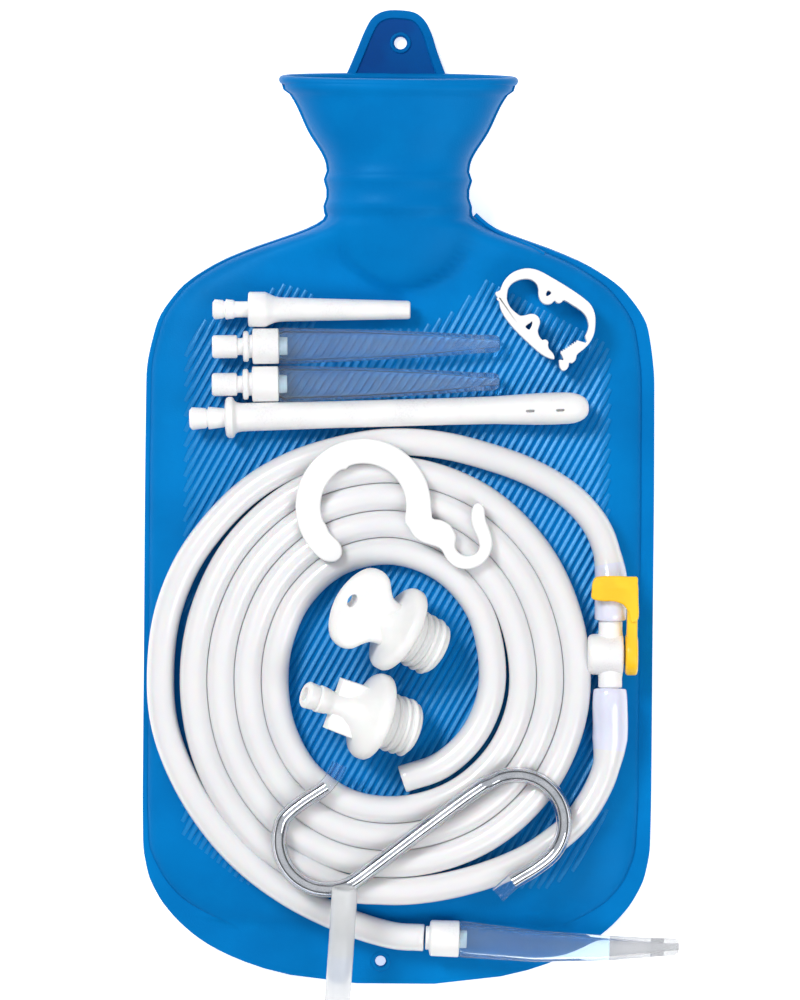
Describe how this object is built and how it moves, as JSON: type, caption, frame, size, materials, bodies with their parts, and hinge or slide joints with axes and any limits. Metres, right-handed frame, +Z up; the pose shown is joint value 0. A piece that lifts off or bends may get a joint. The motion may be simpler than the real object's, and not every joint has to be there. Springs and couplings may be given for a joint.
{
  "type": "irrigation bag kit",
  "caption": "Flat rubber irrigation bag with funnel neck and hang tab, coiled silicone hose with shut-off valve and nozzle, and loose nozzles, stopper, adapter, clamp and hooks.",
  "frame": {"origin": "on the supporting surface, under the middle of the flat bag", "axes": "+Z up from the surface, +Y from the bag bottom to the funnel mouth and hang tab, +X towards the valve side"},
  "size_m": [0.2086, 0.6287, 0.0554],
  "materials": {
    "bag_rubber": "satin",
    "bush_plastic": "matte",
    "hose_silicone": "satin",
    "valve_plastic": "gloss",
    "lever_plastic": "satin",
    "nozzle_plastic": "gloss",
    "clear_plastic": "clear",
    "clamp_plastic": "satin",
    "hook_plastic": "gloss",
    "steel_wire": "polished",
    "tube_plastic": "clear",
    "thread_plastic": "gloss"
  },
  "bodies": {
    "bag": {"bag_front_shell": "bag_rubber", "bag_back_shell": "bag_rubber", "neck_bush": "bush_plastic"},
    "hose": {"hose_coil": "hose_silicone", "hose_to_valve": "hose_silicone", "hose_to_nozzle": "hose_silicone", "valve_body": "valve_plastic", "fitted_nozzle_core": "nozzle_plastic", "fitted_nozzle_sleeve": "clear_plastic"},
    "valve_lever": {"valve_lever": "lever_plastic", "valve_spindle": "valve_plastic"},
    "stopper": {"stopper": "thread_plastic"},
    "hose_adapter": {"hose_adapter": "thread_plastic"},
    "short_nozzle": {"short_nozzle": "nozzle_plastic"},
    "clear_nozzle_a": {"clear_nozzle_a_core": "nozzle_plastic", "clear_nozzle_a_sleeve": "clear_plastic"},
    "clear_nozzle_b": {"clear_nozzle_b_core": "nozzle_plastic", "clear_nozzle_b_sleeve": "clear_plastic"},
    "long_nozzle": {"long_nozzle": "nozzle_plastic"},
    "clamp": {"clamp_frame": "clamp_plastic"},
    "clamp_arm": {"clamp_arm": "clamp_plastic"},
    "hanger_hook": {"hanger_hook": "hook_plastic"},
    "s_hook": {"s_hook_wire": "steel_wire", "s_hook_sleeve": "clear_plastic"},
    "spare_tube": {"spare_tube": "tube_plastic"}
  },
  "joints": [
    {"name": "hose_lift", "type": "slide", "parent": "bag", "child": "hose", "axis": [0, 0, 1], "range_m": [0, 0.12]},
    {"name": "valve_turn", "type": "hinge", "parent": "hose", "child": "valve_lever", "pos_m": [0.0823, -0.0598, 0.0289], "axis": [1, 0, 0], "range_deg": [0, 90]},
    {"name": "stopper_lift", "type": "slide", "parent": "bag", "child": "stopper", "axis": [0, 0, 1], "range_m": [0, 0.12]},
    {"name": "hose_adapter_lift", "type": "slide", "parent": "bag", "child": "hose_adapter", "axis": [0, 0, 1], "range_m": [0, 0.12]},
    {"name": "short_nozzle_lift", "type": "slide", "parent": "bag", "child": "short_nozzle", "axis": [0, 0, 1], "range_m": [0, 0.12]},
    {"name": "clear_nozzle_a_lift", "type": "slide", "parent": "bag", "child": "clear_nozzle_a", "axis": [0, 0, 1], "range_m": [0, 0.12]},
    {"name": "clear_nozzle_b_lift", "type": "slide", "parent": "bag", "child": "clear_nozzle_b", "axis": [0, 0, 1], "range_m": [0, 0.12]},
    {"name": "long_nozzle_lift", "type": "slide", "parent": "bag", "child": "long_nozzle", "axis": [0, 0, 1], "range_m": [0, 0.12]},
    {"name": "clamp_lift", "type": "slide", "parent": "bag", "child": "clamp", "axis": [0, 0, 1], "range_m": [0, 0.12]},
    {"name": "clamp_pinch", "type": "hinge", "parent": "clamp", "child": "clamp_arm", "pos_m": [0.0399, 0.0774, 0.0289], "axis": [0, 0, 1], "range_deg": [0, 13]},
    {"name": "hanger_hook_lift", "type": "slide", "parent": "hose", "child": "hanger_hook", "axis": [0, 0, 1], "range_m": [0, 0.12]},
    {"name": "s_hook_lift", "type": "slide", "parent": "hose", "child": "s_hook", "axis": [0, 0, 1], "range_m": [0, 0.12]},
    {"name": "spare_tube_lift", "type": "slide", "parent": "s_hook", "child": "spare_tube", "axis": [0, 0, 1], "range_m": [0, 0.12]}
  ]
}
